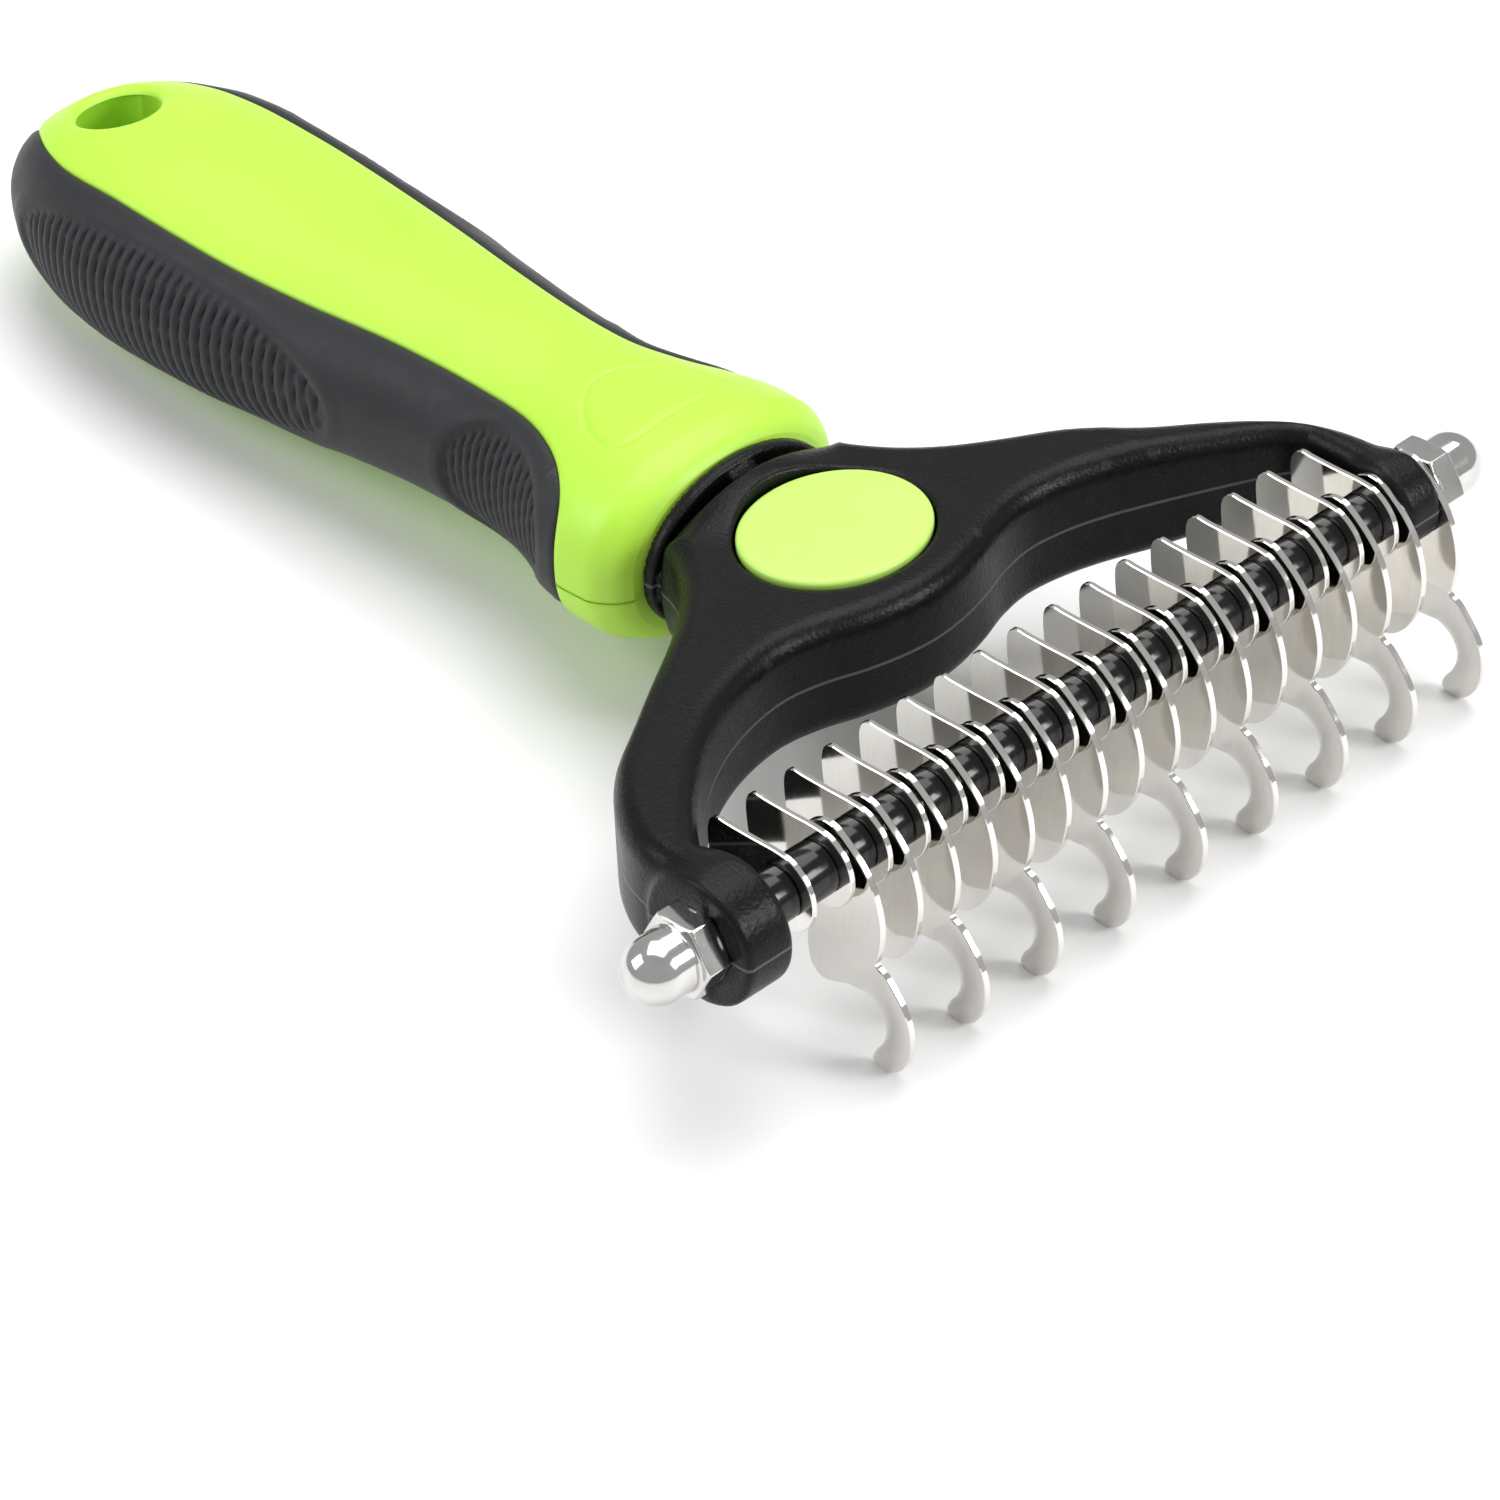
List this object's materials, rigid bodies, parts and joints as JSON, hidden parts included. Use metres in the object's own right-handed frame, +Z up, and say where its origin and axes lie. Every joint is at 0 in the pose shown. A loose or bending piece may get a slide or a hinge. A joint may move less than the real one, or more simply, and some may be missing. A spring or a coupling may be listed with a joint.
{
  "type": "deshedding tool",
  "caption": "Two-sided pet grooming rake: long hooked blades and short comb plates stacked with spacers on an axle, in a forked yoke on a soft-grip handle.",
  "frame": {"origin": "centre of the footprint, on the table the tool rests on", "axes": "+X from handle to head, +Y along the axle towards the tool's left seen from the handle, +Z up"},
  "size_m": [0.15, 0.1108, 0.0267],
  "materials": {
    "handle_green": "satin moulded, lime green",
    "badge_green": "smooth moulded, pale lime",
    "grip_rubber": "soft-touch, matt",
    "yoke_black": "fine moulded grain with smoother edges",
    "spacer_black": "glossy",
    "blade_steel": "polished stainless",
    "nut_nickel": "bright nickel plate"
  },
  "bodies": {
    "tool": {"handle_upper_shell": "handle_green", "handle_lower_shell": "handle_green", "grip_left": "grip_rubber", "grip_right": "grip_rubber", "yoke": "yoke_black", "badge": "badge_green", "axle_rod": "nut_nickel", "comb_plate_01": "blade_steel", "rake_hook_01": "blade_steel", "comb_plate_02": "blade_steel", "rake_plate_02": "blade_steel", "comb_plate_03": "blade_steel", "rake_hook_03": "blade_steel", "comb_plate_04": "blade_steel", "rake_plate_04": "blade_steel", "comb_plate_05": "blade_steel", "rake_hook_05": "blade_steel", "comb_plate_06": "blade_steel", "rake_plate_06": "blade_steel", "comb_plate_07": "blade_steel", "rake_hook_07": "blade_steel", "comb_plate_08": "blade_steel", "rake_plate_08": "blade_steel", "comb_plate_09": "blade_steel", "rake_hook_09": "blade_steel", "comb_plate_10": "blade_steel", "rake_plate_10": "blade_steel", "comb_plate_11": "blade_steel", "rake_hook_11": "blade_steel", "comb_plate_12": "blade_steel", "rake_plate_12": "blade_steel", "comb_plate_13": "blade_steel", "rake_hook_13": "blade_steel", "comb_plate_14": "blade_steel", "rake_plate_14": "blade_steel", "comb_plate_15": "blade_steel", "rake_hook_15": "blade_steel", "comb_plate_16": "blade_steel", "rake_plate_16": "blade_steel", "comb_plate_17": "blade_steel", "rake_hook_17": "blade_steel", "spacer_00": "spacer_black", "spacer_01": "spacer_black", "spacer_02": "spacer_black", "spacer_03": "spacer_black", "spacer_04": "spacer_black", "spacer_05": "spacer_black", "spacer_06": "spacer_black", "spacer_07": "spacer_black", "spacer_08": "spacer_black", "spacer_09": "spacer_black", "spacer_10": "spacer_black", "spacer_11": "spacer_black", "spacer_12": "spacer_black", "spacer_13": "spacer_black", "spacer_14": "spacer_black", "spacer_15": "spacer_black", "spacer_16": "spacer_black"},
    "left_nut": {"cap_nut_left": "nut_nickel"},
    "right_nut": {"cap_nut_right": "nut_nickel"}
  },
  "joints": [
    {"name": "left_nut_turn", "type": "hinge", "parent": "tool", "child": "left_nut", "pos_m": [0.06401, -0.05003, 0.02026], "axis": [0, 1, 0], "continuous": true},
    {"name": "right_nut_turn", "type": "hinge", "parent": "tool", "child": "right_nut", "pos_m": [0.06401, 0.04997, 0.02026], "axis": [0, 1, 0], "continuous": true}
  ]
}
